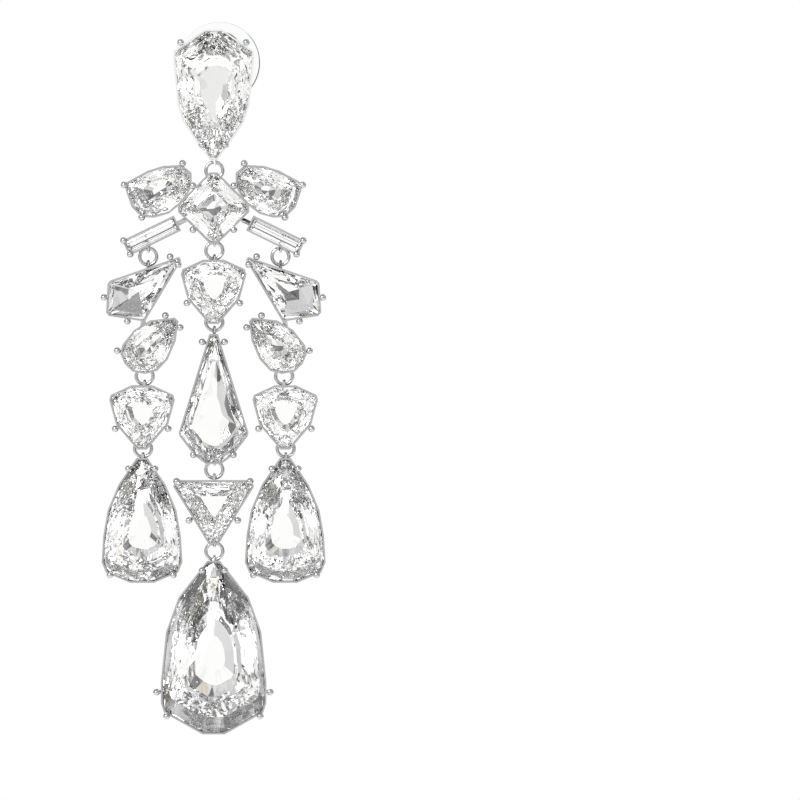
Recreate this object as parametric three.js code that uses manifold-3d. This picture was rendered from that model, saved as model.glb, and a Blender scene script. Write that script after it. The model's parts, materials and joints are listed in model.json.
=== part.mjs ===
// A chandelier earring of clear cut stones in claw settings, with a post for a pierced ear and a clear comfort disc.
// Millimetres, +Z up, the front faces -Y. The origin is the middle of the ear lobe, on the post.
// A depth is counted backwards (+Y) from the girdle plane, where every stone is widest.
import * as THREE from 'three';
import { ConvexGeometry } from 'three/addons/geometries/ConvexGeometry.js';
import { mergeVertices } from 'three/addons/utils/BufferGeometryUtils.js';
import Module from 'manifold-3d';

const wasm = await Module();
wasm.setup();

// ---- Driving dimensions ----
const GIRDLE_Y = -6.6;
const GIRDLE_THICK = 0.3;
const SEAT_GAP = 0.06; // air between a stone and its setting
const CLAW_GAP = 0.03; // air between a stone and its claws
const RIM_WALL = 0.22; // thickness of a setting's rim
const CUP_DEPTH = 1.5; // how far a setting reaches behind the girdle plane
const CUP_TAPER = 0.78; // size of a setting's back edge against its front edge
const CULET_SIZE = 0.1; // size of a stone's back keel against its outline
const BALL_R = 0.42; // claw ball
const CLAW_R = 0.22; // claw wire
const CLAW_DEPTH = -0.25;
const RING_R = 1.06; // jump ring, to the middle of its wire
const RING_WIRE_R = 0.24;
const LOOP_R = 0.66; // soldered loop, to the middle of its wire
const LOOP_WIRE_R = 0.18;
const LOOP_PLAY = 0.06; // air between a ring and the loop that it hangs in
const RING_DEPTH = 1.2; // plane of all the rings
const RING_ROOM = 0.22; // a rim is notched to leave this much air round a ring
const STEM_R = 0.2;
const LOBE_GAP = 5; // room for the ear lobe between the top setting and the comfort disc
const PLATE_THICK = 0.6;
const PLATE_SIZE = 0.6; // back plate of the top setting against its outline
const PLATE_RISE = 1.5; // the back plate sits this much above the stone's middle
const STRUT_R = 0.35;
const POST_R = 0.42;
const POST_END_Y = 5.6;
const BORE_R = 0.56; // hole in the comfort disc and in the ear nut
const DISC_R = 5.25;
const DISC_THICK = 0.8;
const NUT_START_Y = 3.42;
const FINEST_DETAIL = 0.02; // cuts smaller than this are smoothed away

const SILVER = { color: 0xd8dade, roughness: 0.18, metalness: 1 };
const CRYSTAL = { color: 0xf4f6fa, roughness: 0.02, metalness: 0 };
const CLEAR_PLASTIC = { color: 0xf2f4f5, roughness: 0.12, metalness: 0 };

// ---- Outlines of the settings, seen from the front: [u right, v up], anticlockwise ----
const mirrored = (rightHalf) => [...rightHalf, ...rightHalf.map(([u, v]) => [-u, v]).reverse()];

const OUTLINES = {
  top: mirrored([[0.5, -8.1], [1.95, -6.2], [3.85, -3.3], [4.5, -1.2], [5.05, 4.6], [5, 5.5], [1.1, 8.15]]),
  square: mirrored([[0.5, -4.45], [4.45, -0.5], [4.45, 0.5], [0.5, 4.45]]),
  upperPear: [[-2.2, -3.2], [-0.6, -3.3], [1.2, -2.8], [3.1, -1.3], [4.1, 0.6], [4.1, 2.3], [2.9, 3.3], [0.5, 3.15],
    [-1.4, 2.55], [-4.25, 1], [-4.1, 0], [-3.4, -2]],
  baguette: mirrored([[3.6, -1.05], [3.6, 1.05]]),
  sideKite: [[0.2, -3.95], [4.75, 3.7], [4.5, 4.15], [-4.1, 1.2], [-4.45, 0.8], [-4.65, -2.8], [-4.3, -3.25]],
  midPear: [[-0.5, -3.4], [1, -3], [2.3, -1.6], [3.3, 0.7], [3.65, 3.2], [3.2, 3.65], [0.1, 3.3], [-1.9, 2.1],
    [-3.4, 0.2], [-3.6, -0.9], [-3.1, -2.1], [-2.1, -3.1]],
  shield: mirrored([[0.6, -4.1], [3.25, -1], [4.1, 2.1], [3.9, 2.75], [1.3, 3.95]]),
  longKite: mirrored([[1, -8.15], [2.4, -7.1], [4.25, -4.7], [4.35, -4.2], [0.55, 8.1]]),
  triangle: mirrored([[0.6, -4.6], [5.05, 2.6], [4.9, 3.15], [4.3, 3.45]]),
  sideDrop: mirrored([[1.5, -7.85], [4.5, -6.6], [5.05, -5.3], [4.85, -2], [4.3, 1.2], [2.95, 4.4], [0.7, 7.75]]),
  mainDrop: mirrored([[1.4, -10.9], [6.2, -8.2], [6.6, -7], [6.6, -4.4], [5.95, 1.9], [4.4, 6.2], [0.8, 10.8]]),
};

// ---- Cuts: table size against the outline, crown height, depth behind the girdle, and the claw balls' places ----
const bothSides = (places) => places.flatMap(([u, v]) => [[u, v], [-u, v]]);

const CUTS = {
  top: { table: 0.5, crown: 1.3, back: 3, claws: bothSides([[4.1, 6.5], [1.45, -6.25]]) },
  square: { table: 0.5, crown: 0.9, back: 2, claws: bothSides([[2.55, -2.75], [2.55, 2.75]]) },
  upperPear: { table: 0.5, crown: 0.9, back: 1.9, claws: [[3, 3.45], [-4.3, 0.75], [-2.1, -3.3]] },
  baguette: { table: 0.6, crown: 0.5, back: 1.1, cupTaper: 0.96, cupDepth: 0.8, claws: [[-3.4, -0.95], [-3.4, 0.95]] },
  sideKite: { table: 0.72, crown: 0.6, back: 1.3, claws: [[3.4, 4.15], [4.4, 3.15], [-4.85, -0.95], [-1.95, -3.9]] },
  midPear: { table: 0.5, crown: 0.9, back: 1.9, claws: [[2.05, 3.9], [3.9, 2.4], [-3.95, -0.5]] },
  shield: { table: 0.5, crown: 0.9, back: 1.9, claws: bothSides([[3.3, -1.5]]) },
  longKite: { table: 0.78, crown: 0.6, back: 1.5, claws: bothSides([[1.4, 7.1], [2.5, -7]]) },
  triangle: { table: 0.5, crown: 0.9, back: 2, claws: bothSides([[3.05, -1.6], [4.6, 3.3]]) },
  sideDrop: { table: 0.5, crown: 1.2, back: 3.6, claws: bothSides([[1.65, 6.4], [3.95, -6.85]]) },
  mainDrop: { table: 0.5, crown: 1.5, back: 5, claws: bothSides([[1.4, 9.6], [7.1, -5.6], [5.85, -8.6]]) },
};

// ---- Places of the stones: side -1 is the mirror image of side 1 ----
const STONES = [
  { name: 'top', cut: 'top', x: 0, z: -5.35 },
  { name: 'square', cut: 'square', x: 0, z: -19.5 },
  { name: 'left_upper_pear', cut: 'upperPear', x: -6.85, z: -17.4, side: 1 },
  { name: 'right_upper_pear', cut: 'upperPear', x: 6.85, z: -17.4, side: -1 },
  { name: 'left_baguette', cut: 'baguette', x: -7.75, z: -22.95, turn: 26 },
  { name: 'right_baguette', cut: 'baguette', x: 7.75, z: -22.95, turn: 26, side: -1 },
  { name: 'left_kite', cut: 'sideKite', x: -8.8, z: -29.75 },
  { name: 'right_kite', cut: 'sideKite', x: 8.8, z: -29.75, side: -1 },
  { name: 'left_pear', cut: 'midPear', x: -8.05, z: -36.85 },
  { name: 'right_pear', cut: 'midPear', x: 8.05, z: -36.85, side: -1 },
  { name: 'centre_shield', cut: 'shield', x: 0, z: -29.9 },
  { name: 'left_shield', cut: 'shield', x: -8.95, z: -45.6 },
  { name: 'right_shield', cut: 'shield', x: 8.95, z: -45.6 },
  { name: 'long_kite', cut: 'longKite', x: 0, z: -43.35 },
  { name: 'triangle', cut: 'triangle', x: 0, z: -56.95 },
  { name: 'left_drop', cut: 'sideDrop', x: -8.95, z: -58.5 },
  { name: 'right_drop', cut: 'sideDrop', x: 8.95, z: -58.5 },
  { name: 'main_drop', cut: 'mainDrop', x: 0, z: -74.4 },
];

// Metal that is soldered into one solid: its name, and the stones that it holds.
const SETTINGS = {
  top_setting: ['top'],
  cluster_setting: ['square', 'left_upper_pear', 'right_upper_pear', 'left_baguette', 'right_baguette'],
  left_link_setting: ['left_kite', 'left_pear'],
  right_link_setting: ['right_kite', 'right_pear'],
  centre_shield_setting: ['centre_shield'],
  left_shield_setting: ['left_shield'],
  right_shield_setting: ['right_shield'],
  long_kite_setting: ['long_kite'],
  triangle_setting: ['triangle'],
  left_drop_setting: ['left_drop'],
  right_drop_setting: ['right_drop'],
  main_drop_setting: ['main_drop'],
};

// Short solder bars between neighbouring rims: [x, z] of both ends, at a depth just behind the rims' bend.
const BAR_DEPTH = 0.7;
const BAR_R = 0.32;
const BARS = {
  cluster_setting: [[[-5, -21.6], [-3.5, -20.9]], [[5, -21.6], [3.5, -20.9]]],
  left_link_setting: [[[-8.75, -33.2], [-9, -34.4]]],
  right_link_setting: [[[8.75, -33.2], [9, -34.4]]],
};

// Jump rings: the settings above and below, and how far each loop's stem reaches into its setting.
const RINGS = [
  { name: 'stud_ring', x: 0, z: -14.7, above: 'top_setting', up: 0.6, below: 'cluster_setting', down: 0 },
  { name: 'centre_ring', x: 0, z: -24.75, above: 'cluster_setting', up: 0, below: 'centre_shield_setting', down: 0 },
  { name: 'left_ring', x: -8.3, z: -25.5, above: 'cluster_setting', up: 0, below: 'left_link_setting', down: 1.2 },
  { name: 'right_ring', x: 8.3, z: -25.5, above: 'cluster_setting', up: 0, below: 'right_link_setting', down: 1.2 },
  { name: 'long_kite_ring', x: 0, z: -33.75, above: 'centre_shield_setting', up: 0.2, below: 'long_kite_setting', down: 0.9 },
  { name: 'triangle_ring', x: 0, z: -52.25, above: 'long_kite_setting', up: 0.8, below: 'triangle_setting', down: 0 },
  { name: 'left_shield_ring', x: -8.75, z: -40.5, above: 'left_link_setting', up: 0.2, below: 'left_shield_setting', down: 0.2 },
  { name: 'right_shield_ring', x: 8.75, z: -40.5, above: 'right_link_setting', up: 0.2, below: 'right_shield_setting', down: 0.2 },
  { name: 'left_drop_ring', x: -8.95, z: -49.6, above: 'left_shield_setting', up: 0.2, below: 'left_drop_setting', down: 0.8 },
  { name: 'right_drop_ring', x: 8.95, z: -49.6, above: 'right_shield_setting', up: 0.2, below: 'right_drop_setting', down: 0.8 },
  { name: 'main_drop_ring', x: 0, z: -62.5, above: 'triangle_setting', up: 0.3, below: 'main_drop_setting', down: 1.2 },
];

// ---- Solids ----
const toSolid = (geometry) => {
  const bare = geometry.clone();
  bare.deleteAttribute('normal');
  bare.deleteAttribute('uv');
  const merged = mergeVertices(bare, 1e-4);
  return new wasm.Manifold(new wasm.Mesh({
    numProp: 3,
    vertProperties: new Float32Array(merged.attributes.position.array),
    triVerts: new Uint32Array(merged.index.array),
  }));
};

const toGeometry = (solid) => {
  const { vertProperties, triVerts, numProp } = solid.simplify(FINEST_DETAIL).getMesh();
  const positions = [];
  for (let i = 0; i < vertProperties.length; i += numProp) positions.push(...vertProperties.slice(i, i + 3));
  const geometry = new THREE.BufferGeometry();
  geometry.setAttribute('position', new THREE.Float32BufferAttribute(positions, 3));
  geometry.setIndex([...triVerts]);
  return geometry;
};

const joined = (solids) => solids.reduce((whole, next) => whole.add(next));

// A straight wire between two points, each [x, y, z].
const wire = (from, to, radius, sides = 5) => {
  const a = new THREE.Vector3(...from);
  const b = new THREE.Vector3(...to);
  const geometry = new THREE.CylinderGeometry(radius, radius, a.distanceTo(b), sides);
  const turn = new THREE.Quaternion().setFromUnitVectors(new THREE.Vector3(0, 1, 0), b.clone().sub(a).normalize());
  geometry.applyQuaternion(turn);
  const middle = a.add(b).multiplyScalar(0.5);
  geometry.translate(middle.x, middle.y, middle.z);
  return toSolid(geometry);
};

// The convex solid through some layers, each an outline at a depth.
const hull = (layers) => toSolid(new ConvexGeometry(
  layers.flatMap(({ outline, depth }) => outline.map(([u, v]) => new THREE.Vector3(u, depth, v))),
));

const scaled = (outline, size) => outline.map(([u, v]) => [u * size, v * size]);

// Moves every side of an outline outwards by an amount, or inwards if it is negative.
const grown = (outline, amount) => outline.map(([u, v], i) => {
  const [pu, pv] = outline.at(i - 1);
  const [nu, nv] = outline[(i + 1) % outline.length];
  const before = new THREE.Vector2(v - pv, pu - u).normalize();
  const after = new THREE.Vector2(nv - v, u - nu).normalize();
  const corner = before.add(after);
  const reach = (2 * amount) / corner.lengthSq();
  return [u + corner.x * reach, v + corner.y * reach];
});

// A cut stone: flat table, sloped crown, upright girdle, and a back that narrows to a short keel.
const stoneSolid = (cutName, margin = 0) => {
  const { table, crown, back } = CUTS[cutName];
  const girdle = grown(OUTLINES[cutName], margin - SEAT_GAP - RIM_WALL);
  return hull([
    { outline: scaled(girdle, table), depth: -crown - margin },
    { outline: girdle, depth: -margin },
    { outline: girdle, depth: GIRDLE_THICK + margin },
    { outline: scaled(girdle, CULET_SIZE), depth: GIRDLE_THICK + back + margin },
  ]);
};

// The open cup round a stone: an upright rim, then a thin wall that narrows towards its open back.
const cupSolid = (cutName) => {
  const { cupTaper = CUP_TAPER, cupDepth = CUP_DEPTH } = CUTS[cutName];
  const outside = OUTLINES[cutName];
  const inside = grown(outside, -RIM_WALL);
  const bend = GIRDLE_THICK + SEAT_GAP;
  const past = 1; // the hollow runs this far past both open ends
  const hollowTaper = 1 - ((1 - cupTaper) * (cupDepth + past - bend)) / (cupDepth - bend);
  const shell = hull([
    { outline: outside, depth: 0 },
    { outline: outside, depth: bend },
    { outline: scaled(outside, cupTaper), depth: cupDepth },
  ]);
  return shell.subtract(hull([
    { outline: inside, depth: -past },
    { outline: inside, depth: bend },
    { outline: scaled(inside, hollowTaper), depth: cupDepth + past },
  ]));
};

const nearestOnOutline = (outline, [u, v]) => {
  const point = new THREE.Vector3(u, v, 0);
  const found = outline.map(([au, av], i) => {
    const [bu, bv] = outline[(i + 1) % outline.length];
    const side = new THREE.Line3(new THREE.Vector3(au, av, 0), new THREE.Vector3(bu, bv, 0));
    return side.closestPointToPoint(point, true, new THREE.Vector3());
  });
  return found.sort((a, b) => a.distanceTo(point) - b.distanceTo(point))[0];
};

// A claw: a ball in front of the rim's edge, on a wire that runs back into the rim.
const clawSolid = (cutName, [u, v]) => {
  const ball = new THREE.IcosahedronGeometry(BALL_R, 0);
  ball.translate(u, CLAW_DEPTH, v);
  const foot = nearestOnOutline(grown(OUTLINES[cutName], -RIM_WALL / 2), [u, v]);
  return toSolid(ball).add(wire([u, CLAW_DEPTH, v], [foot.x, GIRDLE_THICK + SEAT_GAP, foot.y], CLAW_R));
};

const settingPart = (cutName) => {
  const claws = CUTS[cutName].claws.map((place) => clawSolid(cutName, place));
  return joined([cupSolid(cutName), ...claws]);
};

// Carries a solid from its stone's own frame to its place on the earring.
const placed = (solid, { x, z, turn = 0, side = 1 }) => {
  const upright = solid.rotate([0, -turn, 0]);
  const handed = side === -1 ? upright.mirror([1, 0, 0]) : upright;
  return handed.translate([x, GIRDLE_Y, z]);
};

const stoneOf = Object.fromEntries(STONES.map((stone) => [stone.name, stone]));
const RING_Y = GIRDLE_Y + RING_DEPTH;

// A jump ring seen from the front, or the room round it that its neighbours leave free.
const ringSolid = ({ x, z }, margin = 0) => {
  const geometry = new THREE.TorusGeometry(RING_R, RING_WIRE_R + margin, 6, 12);
  geometry.rotateX(Math.PI / 2);
  geometry.translate(x, RING_Y, z);
  return toSolid(geometry);
};

// A loop of wire across a jump ring, with a stem that runs on into the setting. Way 1 is the loop above the ring.
const loopSolid = ({ x, z }, way, reach) => {
  const middle = z + way * (RING_R - RING_WIRE_R - LOOP_PLAY - LOOP_WIRE_R + LOOP_R);
  const loop = new THREE.TorusGeometry(LOOP_R, LOOP_WIRE_R, 5, 8);
  loop.rotateY(Math.PI / 2);
  loop.translate(x, RING_Y, middle);
  const far = middle + way * LOOP_R;
  if (reach === 0) return toSolid(loop);
  return toSolid(loop).add(wire([x, RING_Y, far], [x, RING_Y, far + way * reach], STEM_R));
};

// The back of the top setting: four struts to a plate, with the ear post on it.
const earFitting = () => {
  const { x, z } = stoneOf.top;
  const plateBackY = -LOBE_GAP / 2;
  const plateOutline = scaled(OUTLINES.top, PLATE_SIZE);
  const plate = hull([
    { outline: plateOutline, depth: plateBackY - PLATE_THICK },
    { outline: plateOutline, depth: plateBackY },
  ]).translate([x, 0, z + PLATE_RISE]);
  const struts = bothSides([[0.86, 4.2], [0.7, -3]]).map(([u, v]) => {
    const cupEdge = nearestOnOutline(scaled(OUTLINES.top, CUP_TAPER + 0.03), [u * 5, v]);
    const plateEdge = nearestOnOutline(scaled(plateOutline, 0.85), [u * 5, v - PLATE_RISE]);
    return wire(
      [x + cupEdge.x, GIRDLE_Y + CUP_DEPTH - 0.15, z + cupEdge.y],
      [x + plateEdge.x, plateBackY - PLATE_THICK / 2, z + PLATE_RISE + plateEdge.y],
      STRUT_R,
    );
  });
  const post = wire([0, plateBackY - PLATE_THICK / 2, 0], [0, POST_END_Y, 0], POST_R, 16);
  return joined([plate, post, ...struts]);
};

// A body of revolution about the post, from rows of [radius, y] that close on themselves.
const turnedSolid = (rows, segments) => {
  const profile = [...rows, rows[0]].map(([radius, y]) => new THREE.Vector2(radius, y));
  return toSolid(new THREE.LatheGeometry(profile, segments));
};

// ---- The earring ----
const earring = new THREE.Group();

const addPiece = (name, solid, finish) => {
  const mesh = new THREE.Mesh(toGeometry(solid), new THREE.MeshStandardMaterial(finish));
  mesh.name = name;
  earring.add(mesh);
};

for (const stone of STONES) addPiece(`${stone.name}_stone`, placed(stoneSolid(stone.cut), stone), CRYSTAL);

for (const ring of RINGS) addPiece(ring.name, ringSolid(ring), SILVER);

for (const [name, held] of Object.entries(SETTINGS)) {
  const stones = held.map((stoneName) => stoneOf[stoneName]);
  const rings = RINGS.filter((ring) => ring.above === name || ring.below === name);
  const loops = rings.map((ring) => (ring.above === name ? loopSolid(ring, 1, ring.up) : loopSolid(ring, -1, ring.down)));
  const bars = (BARS[name] ?? []).map(([from, to]) => {
    const [a, b] = [from, to].map(([x, z]) => [x, GIRDLE_Y + BAR_DEPTH, z]);
    return wire(a, b, BAR_R);
  });
  const cups = joined(stones.map((stone) => placed(settingPart(stone.cut), stone)));
  const notched = rings.reduce((rest, ring) => rest.subtract(ringSolid(ring, RING_ROOM)), cups);
  const room = stones.map((stone) => placed(stoneSolid(stone.cut, CLAW_GAP), stone));
  const clear = room.reduce((rest, space) => rest.subtract(space), joined([notched, ...loops, ...bars]));
  addPiece(name, name === 'top_setting' ? clear.add(earFitting()) : clear, SILVER);
}

addPiece('comfort_disc', turnedSolid([
  [BORE_R, LOBE_GAP / 2], [DISC_R, LOBE_GAP / 2], [DISC_R, LOBE_GAP / 2 + DISC_THICK], [BORE_R, LOBE_GAP / 2 + DISC_THICK],
], 36), CLEAR_PLASTIC);

addPiece('ear_nut', turnedSolid([
  [BORE_R, NUT_START_Y], [2.3, NUT_START_Y], [2.3, NUT_START_Y + 0.6], [1.4, NUT_START_Y + 1.1],
  [1.4, NUT_START_Y + 2.5], [BORE_R, NUT_START_Y + 2.5],
], 20), SILVER);

export default earring;
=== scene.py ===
# Looks of a chandelier earring of clear cut stones: faceted crystals, bright claw settings, a clear comfort disc.
import json
import math

import bmesh
import bpy
import mathutils
import numpy as np
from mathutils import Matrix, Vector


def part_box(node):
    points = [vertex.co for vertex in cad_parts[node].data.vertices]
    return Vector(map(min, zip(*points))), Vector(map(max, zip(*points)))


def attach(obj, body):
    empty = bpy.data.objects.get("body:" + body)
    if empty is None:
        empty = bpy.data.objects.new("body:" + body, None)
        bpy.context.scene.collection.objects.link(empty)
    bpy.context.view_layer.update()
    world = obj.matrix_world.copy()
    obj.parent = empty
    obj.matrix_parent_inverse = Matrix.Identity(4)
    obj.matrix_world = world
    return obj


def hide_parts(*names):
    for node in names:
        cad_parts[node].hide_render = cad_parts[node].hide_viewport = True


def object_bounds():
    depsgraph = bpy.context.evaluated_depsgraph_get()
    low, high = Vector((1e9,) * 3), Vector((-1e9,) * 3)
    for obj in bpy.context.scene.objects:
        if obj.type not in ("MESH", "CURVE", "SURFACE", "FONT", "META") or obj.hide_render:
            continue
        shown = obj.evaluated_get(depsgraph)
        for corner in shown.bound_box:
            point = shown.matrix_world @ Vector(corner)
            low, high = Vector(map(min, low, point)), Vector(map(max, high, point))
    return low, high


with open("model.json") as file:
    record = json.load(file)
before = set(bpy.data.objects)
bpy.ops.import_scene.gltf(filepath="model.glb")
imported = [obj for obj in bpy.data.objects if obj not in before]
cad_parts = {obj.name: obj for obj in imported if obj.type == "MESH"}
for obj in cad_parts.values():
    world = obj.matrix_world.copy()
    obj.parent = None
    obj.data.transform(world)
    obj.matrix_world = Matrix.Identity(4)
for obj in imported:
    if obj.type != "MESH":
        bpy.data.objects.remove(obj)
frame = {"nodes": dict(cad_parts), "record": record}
cadBox = [list(corner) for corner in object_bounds()]
record = frame["record"]
bodyOf = {node: body for body, nodes in record["behaviour"]["bodies"].items() for node in nodes}
mm = 0.001
print("frame loaded:", len(bodyOf), "nodes")


def newMaterial(name):
    material = bpy.data.materials.new(name)
    material.use_nodes = True
    nodes = material.node_tree.nodes
    return material, nodes, material.node_tree.links, nodes["Principled BSDF"]


def addNode(nodes, kind, inputs=None, **settings):
    node = nodes.new(kind)
    for key, value in settings.items():
        setattr(node, key, value)
    for key, value in (inputs or {}).items():
        node.inputs[key].default_value = value
    return node


def addPiece(name, verts, faces, smooth=False):
    # puts whole arrays into a mesh, with its faces turned outwards
    mesh = bpy.data.meshes.new(name)
    mesh.from_pydata(np.asarray(verts).tolist(), [], faces)
    work = bmesh.new()
    work.from_mesh(mesh)
    bmesh.ops.recalc_face_normals(work, faces=work.faces)
    work.to_mesh(mesh)
    work.free()
    mesh.polygons.foreach_set("use_smooth", [smooth] * len(mesh.polygons))
    piece = bpy.data.objects.new(name, mesh)
    bpy.context.scene.collection.objects.link(piece)
    return piece


def meshPoints(node):
    # a CAD node's corners as rows of x, y, z
    mesh = frame["nodes"][node].data
    points = np.empty(len(mesh.vertices) * 3)
    mesh.vertices.foreach_get("co", points)
    return points.reshape(-1, 3)


def noiseFinish(nodes, links, shader, look):
    # fine noise drives how rough the surface is and, where it has a depth, how it undulates
    place = addNode(nodes, "ShaderNodeTexCoord")
    grain = addNode(nodes, "ShaderNodeTexNoise", {"Scale": look["grainScale"], "Detail": look["grainDetail"]})
    rough = addNode(nodes, "ShaderNodeMapRange", {"To Min": look["roughLow"], "To Max": look["roughHigh"]})
    links.new(place.outputs["Object"], grain.inputs["Vector"])
    links.new(grain.outputs["Fac"], rough.inputs["Value"])
    links.new(rough.outputs["Result"], shader.inputs["Roughness"])
    if look["grainDepth"]:
        bump = addNode(nodes, "ShaderNodeBump", {"Strength": look["grainDepth"], "Distance": look["grainRise"]})
        links.new(grain.outputs["Fac"], bump.inputs["Height"])
        links.new(bump.outputs["Normal"], shader.inputs["Normal"])


def clearMaterial(name, look):
    material, nodes, links, shader = newMaterial(name)
    shader.inputs["Base Color"].default_value = look["tint"]
    shader.inputs["Transmission Weight"].default_value = 1.0
    shader.inputs["IOR"].default_value = look["ior"]
    noiseFinish(nodes, links, shader, look)
    return material


def standFor(piece, node, material):
    # the piece takes the place of a CAD node, on the same body
    piece.data.materials.append(material)
    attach(piece, bodyOf[node])
    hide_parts(node)


def gridFaces(rows, columns, closeRows):
    # quads of a grid that closes round its columns, and round its rows too if asked
    i, j = np.meshgrid(np.arange(rows if closeRows else rows - 1), np.arange(columns), indexing="ij")
    below, beside = (i + 1) % rows, (j + 1) % columns
    corners = [i * columns + j, i * columns + beside, below * columns + beside, below * columns + j]
    return np.stack(corners, -1).reshape(-1, 4).tolist()


crystalLook = {
    "tint": (1.0, 0.997, 0.99, 1),
    "ior": 2.0,
    "grainScale": 900.0,  # faint waviness of hand polish
    "grainDetail": 2.0,
    "grainDepth": 0.01,
    "grainRise": 0.0001,  # m
    "roughLow": 0.0,
    "roughHigh": 0.02,
}


# Levels run from the table to the keel: [size against the girdle, height from the girdle, turned half a facet].
# A height of -1 is the table and +1 the keel. Facets are finest at the two ends of a stone.
cuts = {
    "brilliant": {
        "endFacet": 1.2,  # longest side of a facet at the ends, mm
        "flankFacet": 2,  # and at the flanks
        "endShrink": 1,  # how much the ends step in, against the flanks
        "sparkle": 0.055,  # how unevenly its facets lean
        "rounding": 1,  # how much inner rings lose their corners
        "levels": [
            [0.5, -1, 0], [0.65, -0.86, 1], [0.81, -0.58, 0], [0.92, -0.28, 1], [1, 0, 0],
            [1, 0, 0], [0.84, 0.24, 1], [0.66, 0.5, 0], [0.46, 0.74, 1], [0.24, 0.92, 0],
        ],
    },
    "window": {
        "endFacet": 1.2,
        "flankFacet": 1.7,
        "endShrink": 1,
        "sparkle": 0.055,
        "rounding": 1,
        "levels": [
            [0.54, -1, 0], [0.68, -0.86, 1], [0.83, -0.58, 0], [0.93, -0.28, 1], [1, 0, 0],
            [1, 0, 0], [0.85, 0.26, 1], [0.7, 0.54, 0], [0.52, 0.85, 1], [0.36, 1, 0],
        ],
    },
    "drop": {
        "endFacet": 1.4,
        "flankFacet": 3.6,
        "endShrink": 1,
        "sparkle": 0.05,
        "rounding": 1,
        "levels": [
            [0.54, -1, 0], [0.68, -0.84, 1], [0.85, -0.5, 0], [1, 0, 1],
            [1, 0, 1], [0.86, 0.26, 0], [0.72, 0.55, 1], [0.57, 0.81, 0], [0.42, 0.94, 1], [0.22, 0.985, 0],
        ],
    },
    "step": {
        "endFacet": 9,
        "flankFacet": 9,
        "endShrink": 0.15,
        "sparkle": 0,
        "rounding": 0,
        "levels": [
            [0.22, -1, 0], [0.46, -0.93, 0], [0.56, -0.72, 0], [0.82, -0.6, 0], [0.9, -0.25, 0], [1, 0, 0],
            [1, 0, 0], [0.9, 0.38, 0], [0.64, 0.52, 0], [0.54, 0.78, 0], [0.3, 0.88, 0], [0.2, 1, 0],
        ],
    },
    "kite": {
        "endFacet": 9,
        "flankFacet": 9,
        "endShrink": 1,
        "sparkle": 0,
        "rounding": 0,
        "levels": [
            [0.83, -1, 0], [1, 0, 0],
            [1, 0, 0], [0.35, 0.7, 0],
        ],
    },
    "slab": {
        "endFacet": 1.6,
        "flankFacet": 3.5,
        "endShrink": 1,
        "sparkle": 0.05,
        "rounding": 1,
        "levels": [
            [0.74, -1, 0], [0.86, -0.6, 1], [1, 0, 0],
            [1, 0, 0], [0.88, 0.5, 1], [0.7, 0.82, 0], [0.5, 0.94, 1], [0.3, 1, 0],
        ],
    },
}
cutOf = {
    "left_baguette": "step", "right_baguette": "step", "left_kite": "kite", "right_kite": "kite",
    "long_kite": "slab", "top": "drop", "left_drop": "drop", "right_drop": "drop", "main_drop": "drop",
    "left_shield": "window", "right_shield": "window", "centre_shield": "window", "triangle": "window",
}
chance = np.random.default_rng(11)
depthStep = 0.05 * mm  # depths of a stone nearer than this are one
girdleReach = 0.02 * mm  # corners this near the girdle are on it
roundingShare = 12  # a ring is averaged over this part of it, each way


def stoneShape(node):
    # girdle outline as an ordered ring of (x, z), and the four depths of the CAD stone, all from its own mesh
    points = meshPoints(node)
    depths = np.unique(points[:, 1].round(6))
    depths = depths[np.insert(np.diff(depths) > depthStep, 0, True)]
    rim = np.unique(points[np.abs(points[:, 1] - depths[1]) < girdleReach][:, [0, 2]].round(6), axis=0)
    middle = (rim.min(0) + rim.max(0)) / 2
    order = np.argsort(np.arctan2(*(rim - middle).T[::-1]))
    return rim[order], depths


def cutSides(outline, cut):
    # every side longer than the limit at its height is cut into equal parts
    middle, half = (outline.max(0) + outline.min(0)) / 2, np.ptp(outline, axis=0) / 2
    longAxis = half.argmax()
    parts = []
    for a, b in zip(outline, np.roll(outline, -1, axis=0)):
        endward = min(1, abs(((a + b) / 2 - middle)[longAxis]) / half[longAxis]) ** 2
        longest = cut["flankFacet"] + (cut["endFacet"] - cut["flankFacet"]) * endward
        count = max(1, math.ceil(np.linalg.norm(b - a) / mm / longest))
        parts.append(a + (b - a) * (np.arange(count) / count)[:, None])
    return np.concatenate(parts)


def roundedRing(ring, amount):
    # each corner moved part of the way to the average of its neighbours, which bends straight sides
    reach = max(1, len(ring) // roundingShare)
    average = sum(np.roll(ring, shift, axis=0) for shift in range(-reach, reach + 1)) / (2 * reach + 1)
    return ring + (average - ring) * amount


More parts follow.
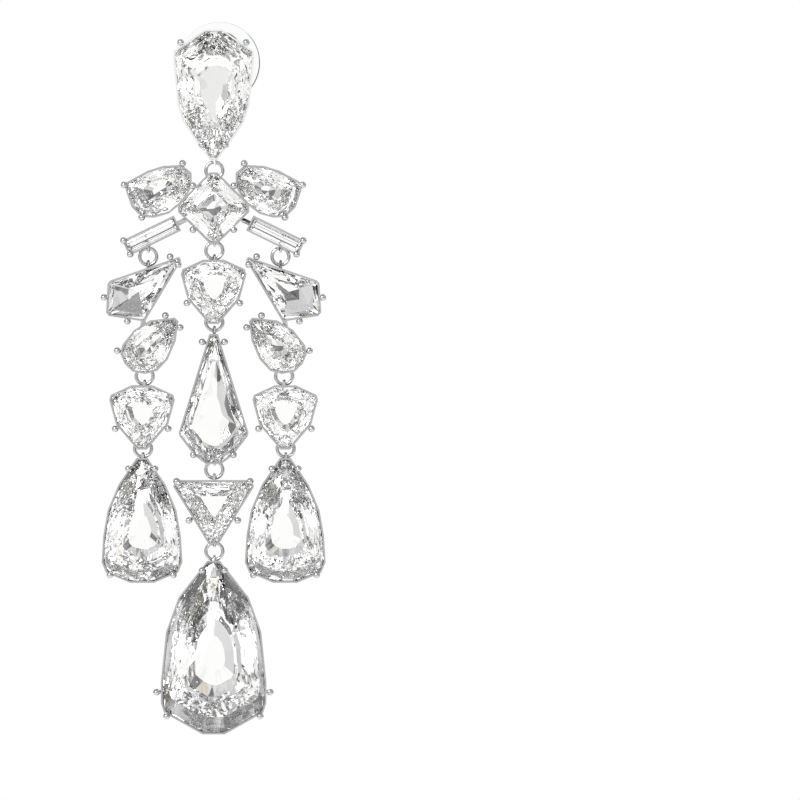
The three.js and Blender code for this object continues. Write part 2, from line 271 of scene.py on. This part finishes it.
def facetedStone(name, node, cutName):
    # a stack of rings, each the girdle outline rounded and shrunk towards its middle, joined by flat facets
    cut = cuts[cutName]
    outline, (tableY, frontY, backY, keelY) = stoneShape(node)
    ring = cutSides(outline, cut)
    count = len(ring)
    x, z = ring.T
    twist = x * np.roll(z, -1) - np.roll(x, -1) * z
    middle = ((ring + np.roll(ring, -1, axis=0)) * twist[:, None]).sum(0) / (3 * twist.sum())
    halfway = (ring + np.roll(ring, -1, axis=0)) / 2
    sides = np.roll(outline, -1, axis=0) - outline
    lengthwise = sides[np.linalg.norm(sides, axis=1).argmax()]
    lengthwise = lengthwise / np.linalg.norm(lengthwise)
    layers = []
    seenGirdle = False
    for size, height, half in cut["levels"]:
        uneven = 1 - cut["sparkle"] * chance.random((count, 1)) * (size < 1)
        offset = (roundedRing(halfway if half else ring, cut["rounding"] * (1 - size)) - middle) * uneven
        along = (offset @ lengthwise)[:, None] * lengthwise
        flat = middle + along * (1 - (1 - size) * cut["endShrink"]) + (offset - along) * size
        if height < 0:
            y = frontY + (frontY - tableY) * height
        elif height == 0:
            y = backY if seenGirdle else frontY
            seenGirdle = True
        else:
            y = backY + (keelY - backY) * height
        layers.append(np.column_stack([flat[:, 0], np.full(count, y), flat[:, 1]]))
    verts = np.concatenate(layers + [[[middle[0], keelY, middle[1]]]])
    step = np.arange(count)
    after = (step + 1) % count
    faces = [step.tolist()]
    halves = [row[2] for row in cut["levels"]]
    for level, (upper, lower) in enumerate(zip(halves, halves[1:])):
        a, b, c, d = (base * count + index for base, index in
                      ((level, step), (level, after), (level + 1, step), (level + 1, after)))
        if upper == lower:
            faces += np.column_stack([a, b, d, c]).tolist()
        elif lower:
            faces += np.column_stack([a, b, c]).tolist() + np.column_stack([c, b, d]).tolist()
        else:
            faces += np.column_stack([a, b, d]).tolist() + np.column_stack([a, d, c]).tolist()
    last = (len(halves) - 1) * count
    faces += np.column_stack([last + step, last + after, np.full(count, len(verts) - 1)]).tolist()
    return addPiece(name, verts, faces)


crystal = clearMaterial("clearCrystal", crystalLook)
stoneNodes = [node for node in bodyOf if node.endswith("_stone")]
for node in stoneNodes:
    plain = node[: -len("_stone")]
    standFor(facetedStone(plain + "_crystal", node, cutOf.get(plain, "brilliant")), node, crystal)
print("stones cut:", len(stoneNodes))


metalLook = {
    "color": (0.5, 0.5, 0.505, 1),
    "paintedSheenTopColor": (0.9, 0.9, 0.9, 1),  # painted sheen: the top setting gets a brighter copy of the same silver, standing in for how its plate shines through the stone
    "grainScale": 700.0,
    "grainDetail": 4.0,
    "grainDepth": 0.03,
    "grainRise": 0.0001,  # m
    "roughLow": 0.03,
    "roughHigh": 0.12,
    "ballRadius": 0.43,  # mm
    "ballDepth": 0.357,  # mm from a CAD ball's foremost corners back to its middle
    "ballSides": 20,
    "poleGap": 0.02,  # a ball's rows stop this short of its poles, which are flat caps
    "ringSides": 48,
    "wireSides": 14,
}
tipReach = 0.01 * mm  # corners this near the foremost are claw tips


def metalMaterial(name, color):
    material, nodes, links, shader = newMaterial(name)
    shader.inputs["Base Color"].default_value = color
    shader.inputs["Metallic"].default_value = 1.0
    noiseFinish(nodes, links, shader, metalLook)
    return material


def ringPiece(name, node):
    # a torus in the XZ plane: wire angle against ring angle
    low, high = (np.array(corner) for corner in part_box(node))
    middle = (low + high) / 2
    # the CAD wire has six sides: its corners stand high / sin 60 degrees from its middle, and a round wire of the
    # same cross-section is 0.909 of that
    corner = (high[1] - low[1]) / 2 / math.sin(math.pi / 3)
    radius = (high[0] - low[0]) / 2 - corner
    wire = corner * math.sqrt(1.5 * math.sqrt(3) / math.pi)
    around = np.linspace(0, math.tau, metalLook["ringSides"], endpoint=False)[:, None]
    across = np.linspace(0, math.tau, metalLook["wireSides"], endpoint=False)[None, :]
    reach = radius + wire * np.cos(across)
    verts = np.stack([reach * np.cos(around), wire * np.sin(across) + 0 * around, reach * np.sin(around)], -1)
    return addPiece(name, verts.reshape(-1, 3) + middle, gridFaces(*verts.shape[:2], True), smooth=True)


def clawPlaces(node):
    # each claw ball of the CAD metal ends in two front corners, one each side of its middle
    points = meshPoints(node)
    front = points[:, 1].min()
    tips = np.unique(points[points[:, 1] < front + tipReach].round(6), axis=0)
    apart = np.linalg.norm(tips[:, None] - tips[None], axis=-1) + np.eye(len(tips))
    middles = (tips + tips[apart.argmin(1)]) / 2
    middles = np.unique(middles.round(5), axis=0)
    middles[:, 1] = front + metalLook["ballDepth"] * mm
    return middles


def clawBalls(name, node):
    # spheres: height angle against turn angle, repeated at every claw
    places = clawPlaces(node)
    sides = metalLook["ballSides"]
    rows, gap = sides // 2, metalLook["poleGap"]
    height = np.linspace(gap, math.pi - gap, rows)[:, None]
    turn = np.linspace(0, math.tau, sides, endpoint=False)[None, :]
    ball = np.stack([np.sin(height) * np.cos(turn), np.cos(height) + 0 * turn, np.sin(height) * np.sin(turn)], -1)
    ball = ball.reshape(-1, 3) * metalLook["ballRadius"] * mm
    faces = gridFaces(rows, sides, False) + [list(range(sides)), list(range((rows - 1) * sides, rows * sides))]
    verts = (places[:, None] + ball[None]).reshape(-1, 3)
    allFaces = [[index + k * len(ball) for index in face] for k in range(len(places)) for face in faces]
    return addPiece(name, verts, allFaces, smooth=True)


metal = metalMaterial("silverPlate", metalLook["color"])
# a brighter copy of the same silver plate, a painted sheen for the top setting
paintedSheenMetal = metalMaterial("paintedSheenSilverPlate", metalLook["paintedSheenTopColor"])
for node in bodyOf:
    if node.endswith("_ring"):
        standFor(ringPiece(node + "_wire", node), node, metal)
    elif node.endswith("_setting"):
        for place in frame["nodes"][node].material_slots:
            # the top setting takes the brighter copy, a painted sheen
            place.material = paintedSheenMetal if node == "top_setting" else metal
        balls = clawBalls(node.replace("_setting", "_claw_balls"), node)
        balls.data.materials.append(metal)
        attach(balls, bodyOf[node])
print("metal done")


plasticLook = {
    "tint": (0.97, 0.975, 0.98, 1),
    "ior": 1.25,
    "grainScale": 300.0,
    "grainDetail": 3.0,
    "grainDepth": 0,
    "roughLow": 0.02,
    "roughHigh": 0.09,
}
# radii and steps are in mm
backShape = {
    "bore": 0.56,
    "discEdge": 0.16,  # rounding of the disc's rim
    "edgeSteps": 6,
    "turns": 96,
    "flangeEdge": 0.15,  # bevel of the nut's flange
    "flangeThick": 0.6,
    "neckRadius": 1.75,
    "neckDepth": 0.75,
    "barrelRadius": 1.4,
    "barrelDepth": 1.2,
    "barrelEdge": 0.3,  # bevel of the barrel's end
}


def turnedPiece(name, profile):
    # a closed profile of [radius, y] in mm, carried round the post
    profile = np.array(profile) * mm
    turn = np.linspace(0, math.tau, backShape["turns"], endpoint=False)[:, None]
    radius, y = profile[:, 0][None], profile[:, 1][None]
    verts = np.stack([radius * np.cos(turn), y + 0 * turn, radius * np.sin(turn)], -1)
    return addPiece(name, verts.reshape(-1, 3), gridFaces(*verts.shape[:2], True), smooth=True)


def roundedRim(outerR, lowY, highY, edge, bore):
    # a flat washer whose outer corners are quarter circles
    bend = np.linspace(0, math.pi / 2, backShape["edgeSteps"])
    front = np.column_stack([outerR - edge + edge * np.sin(bend), lowY + edge - edge * np.cos(bend)])
    back = np.column_stack([outerR - edge + edge * np.cos(bend), highY - edge + edge * np.sin(bend)])
    return np.concatenate([[[bore, lowY]], front, back, [[bore, highY]]]).tolist()


def millimetres(node):
    low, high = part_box(node)
    return [value / mm for value in low], [value / mm for value in high]


def nutProfile(outerR, lowY, highY):
    # a bevelled flange, a sloped neck and a barrel with a bevelled end
    bore, edge, flange = backShape["bore"], backShape["flangeEdge"], backShape["flangeThick"]
    barrel, end = backShape["barrelRadius"], backShape["barrelEdge"]
    return [
        [bore, lowY], [outerR - edge, lowY], [outerR, lowY + edge], [outerR, lowY + flange - edge],
        [outerR - edge, lowY + flange], [backShape["neckRadius"], lowY + backShape["neckDepth"]],
        [barrel, lowY + backShape["barrelDepth"]], [barrel, highY - end], [barrel - end, highY], [bore, highY],
    ]


plastic = clearMaterial("clearPlastic", plasticLook)
(_, discLow, _), (discR, discHigh, _) = millimetres("comfort_disc")
discProfile = roundedRim(discR, discLow, discHigh, backShape["discEdge"], backShape["bore"])
standFor(turnedPiece("comfort_disc_clear", discProfile), "comfort_disc", plastic)
(_, nutLow, _), (nutR, nutHigh, _) = millimetres("ear_nut")
standFor(turnedPiece("ear_nut_turned", nutProfile(nutR, nutLow, nutHigh)), "ear_nut", metal)
print("ear fitting done")


studio = {
    "floorDrop": 0.15,  # floor below the lowest stone, m
    "floorSize": 0.45,
    "floorColor": (0.95, 0.95, 0.95, 1),
    "floorGlow": 0.6,
    "sensorWidth": 36.0,  # mm
    "bounces": 24,
    "glossBounces": 12,
    "cardScale": 3.6,
    "cardTones": [
        [0, (0.015, 0.015, 0.02), 1], [0.15, (0.14, 0.14, 0.14), 1], [0.26, (0.44, 0.44, 0.44), 1],
        [0.37, (0.86, 0.83, 0.92), 1], [0.4, (1, 1, 1), 1], [0.87, (1.1, 1.02, 0.85), 1],
        [0.885, (0.7, 0.82, 1.15), 1], [0.9, (1.15, 1.15, 1.15), 1],
    ],
    # from straight ahead of the camera's back, 0, to straight behind the stones, 1
    "zoneTones": [
        [0, (0.93, 0.93, 0.93), 1], [0.04, (0, 0, 0), 0], [0.82, (0.04, 0.04, 0.05), 0.4], [0.985, (1, 1, 1), 1],
    ],
    "lampPlace": (-0.22, -0.36, 0.2),  # m
    "lampSize": 0.16,
    "lampPower": 1.0,
    "frontDistance": 0.29,  # camera to the stones, m
    "frameWidth": 0.1,  # what the picture spans at the stones, m
    "eye": (0.0233, -0.0435),  # camera x and z, m
}


def stageFloor():
    size, z = studio["floorSize"], cadBox[0][2] - studio["floorDrop"]
    floor = addPiece("floor", [[-size, -size, z], [size, -size, z], [size, size, z], [-size, size, z]], [[0, 1, 2, 3]])
    material, nodes, links, shader = newMaterial("paleFloor")
    shader.inputs["Base Color"].default_value = studio["floorColor"]
    shader.inputs["Emission Color"].default_value = (1, 1, 1, 1)
    shader.inputs["Emission Strength"].default_value = studio["floorGlow"]
    floor.data.materials.append(material)


def toneRamp(nodes, stops):
    # steps of plain tone: [start, color, how much it covers]
    node = addNode(nodes, "ShaderNodeValToRGB")
    node.color_ramp.interpolation = "CONSTANT"
    for index, (start, color, cover) in enumerate(stops):
        stop = node.color_ramp.elements[index] if index < 2 else node.color_ramp.elements.new(start)
        stop.position, stop.color = start, (*color, cover)
    return node


def studioWorld():
    # a tent of plain cards in many tones for the facets to mirror, a pale card round the camera, darker ones
    # round the backdrop, and a backdrop that is white
    world = bpy.data.worlds.new("lightTent")
    world.use_nodes = True
    bpy.context.scene.world = world
    nodes, links = world.node_tree.nodes, world.node_tree.links
    place = addNode(nodes, "ShaderNodeTexCoord")
    cards = addNode(nodes, "ShaderNodeTexVoronoi", {"Scale": studio["cardScale"]})
    tone = addNode(nodes, "ShaderNodeSeparateColor")
    cardTone = toneRamp(nodes, studio["cardTones"])
    split = addNode(nodes, "ShaderNodeSeparateXYZ")
    depth = addNode(nodes, "ShaderNodeMapRange", {"From Min": -1.0, "From Max": 1.0})
    zoneTone = toneRamp(nodes, studio["zoneTones"])
    zoned = addNode(nodes, "ShaderNodeMix", data_type="RGBA")
    path = addNode(nodes, "ShaderNodeLightPath")
    seen = addNode(nodes, "ShaderNodeMix", data_type="RGBA")
    seen.inputs[7].default_value = (1, 1, 1, 1)
    links.new(place.outputs["Generated"], cards.inputs["Vector"])
    links.new(cards.outputs["Color"], tone.inputs["Color"])
    links.new(tone.outputs["Red"], cardTone.inputs["Fac"])
    links.new(place.outputs["Generated"], split.inputs[0])
    links.new(split.outputs["Y"], depth.inputs["Value"])
    links.new(depth.outputs["Result"], zoneTone.inputs["Fac"])
    links.new(zoneTone.outputs["Alpha"], zoned.inputs["Factor"])
    links.new(cardTone.outputs["Color"], zoned.inputs[6])
    links.new(zoneTone.outputs["Color"], zoned.inputs[7])
    links.new(path.outputs["Is Camera Ray"], seen.inputs["Factor"])
    links.new(zoned.outputs[2], seen.inputs[6])
    links.new(seen.outputs[2], nodes["Background"].inputs["Color"])


def frontCamera():
    data = bpy.data.cameras.new("camera")
    data.sensor_width = studio["sensorWidth"]
    data.lens = studio["sensorWidth"] * studio["frontDistance"] / studio["frameWidth"]
    data.clip_start = 0.01
    camera = bpy.data.objects.new("camera", data)
    girdleY = stoneShape("top_stone")[1][1]
    camera.location = (studio["eye"][0], girdleY - studio["frontDistance"], studio["eye"][1])
    camera.rotation_euler = (math.pi / 2, 0, 0)
    bpy.context.scene.collection.objects.link(camera)
    bpy.context.scene.camera = camera


def keyLight():
    # one soft lamp, up and to the left of the camera
    data = bpy.data.lights.new("softLamp", "AREA")
    data.size = studio["lampSize"]
    data.energy = studio["lampPower"]
    lamp = bpy.data.objects.new("softLamp", data)
    lamp.location = studio["lampPlace"]
    aim = mathutils.Vector((0, 0, studio["eye"][1])) - lamp.location
    lamp.rotation_euler = aim.to_track_quat("-Z", "Y").to_euler()
    bpy.context.scene.collection.objects.link(lamp)


stageFloor()
studioWorld()
keyLight()
frontCamera()
scene = bpy.context.scene
scene.view_settings.view_transform = "Standard"
scene.cycles.max_bounces = studio["bounces"]
scene.cycles.transmission_bounces = studio["bounces"]
scene.cycles.glossy_bounces = studio["glossBounces"]
print("studio done")
